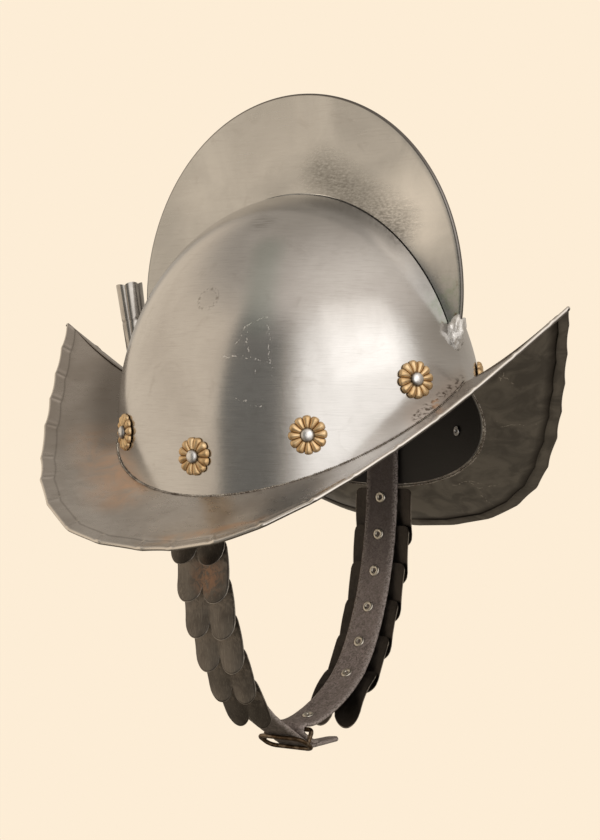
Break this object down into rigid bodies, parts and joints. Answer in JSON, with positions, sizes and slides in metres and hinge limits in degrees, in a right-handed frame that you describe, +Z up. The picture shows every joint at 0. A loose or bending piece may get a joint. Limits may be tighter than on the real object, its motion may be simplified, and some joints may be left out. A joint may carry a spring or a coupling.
{
  "type": "morion helmet",
  "caption": "Steel helmet with an upright crescent comb, a boat-shaped brim turned up to a point at both ends, gilt rosettes, a plume tube and a scaled chin strap.",
  "frame": {"origin": "middle of the head opening, level with 2.5 mm below the lowest points of the bowl's edge above the ears: a head holds the helmet there", "axes": "+Z up along the head, -Y the way the wearer faces, +X to the wearer's left; the comb stands in the plane x = 0"},
  "size_m": [0.2916, 0.3802, 0.4015],
  "materials": {
    "steel": "satin brushed, handled, with a few stains and scratches",
    "rivet_steel": "dull polished",
    "eyelet_metal": "dull plated, rubbed",
    "gilt_brass": "matte gilt, dirt in the hollows",
    "blackened_steel": "blackened, rubbed bright along the rims, light rust",
    "strap_leather": "grey-brown, rough on the flesh side",
    "buckle_metal": "browned, rubbed on the high places"
  },
  "bodies": {
    "root": {"skull": "steel", "comb": "steel", "brim": "steel", "plume_holder": "steel", "strap_right": "strap_leather", "strap_left": "strap_leather", "buckle": "buckle_metal", "rosette_1": "gilt_brass", "rosette_2": "gilt_brass", "rosette_3": "gilt_brass", "rosette_4": "gilt_brass", "rosette_5": "gilt_brass", "rosette_6": "gilt_brass", "rosette_7": "gilt_brass", "rosette_8": "gilt_brass", "rosette_rivet_1": "rivet_steel", "rosette_rivet_2": "rivet_steel", "rosette_rivet_3": "rivet_steel", "rosette_rivet_4": "rivet_steel", "rosette_rivet_5": "rivet_steel", "rosette_rivet_6": "rivet_steel", "rosette_rivet_7": "rivet_steel", "rosette_rivet_8": "rivet_steel", "scale_right_1": "blackened_steel", "scale_right_2": "blackened_steel", "scale_right_3": "blackened_steel", "scale_right_4": "blackened_steel", "scale_right_5": "blackened_steel", "scale_right_6": "blackened_steel", "scale_left_1": "blackened_steel", "scale_left_2": "blackened_steel", "scale_left_3": "blackened_steel", "scale_left_4": "blackened_steel", "scale_left_5": "blackened_steel", "scale_left_6": "blackened_steel", "strap_rivet_right_1": "eyelet_metal", "strap_rivet_right_2": "eyelet_metal", "strap_rivet_right_3": "eyelet_metal", "strap_rivet_right_4": "eyelet_metal", "strap_rivet_right_5": "eyelet_metal", "strap_rivet_right_6": "eyelet_metal", "strap_rivet_left_1": "eyelet_metal", "strap_rivet_left_2": "eyelet_metal", "strap_rivet_left_3": "eyelet_metal", "strap_rivet_left_4": "eyelet_metal", "strap_rivet_left_5": "eyelet_metal", "strap_rivet_left_6": "eyelet_metal", "strap_rivet_left_7": "eyelet_metal"}
  },
  "joints": []
}
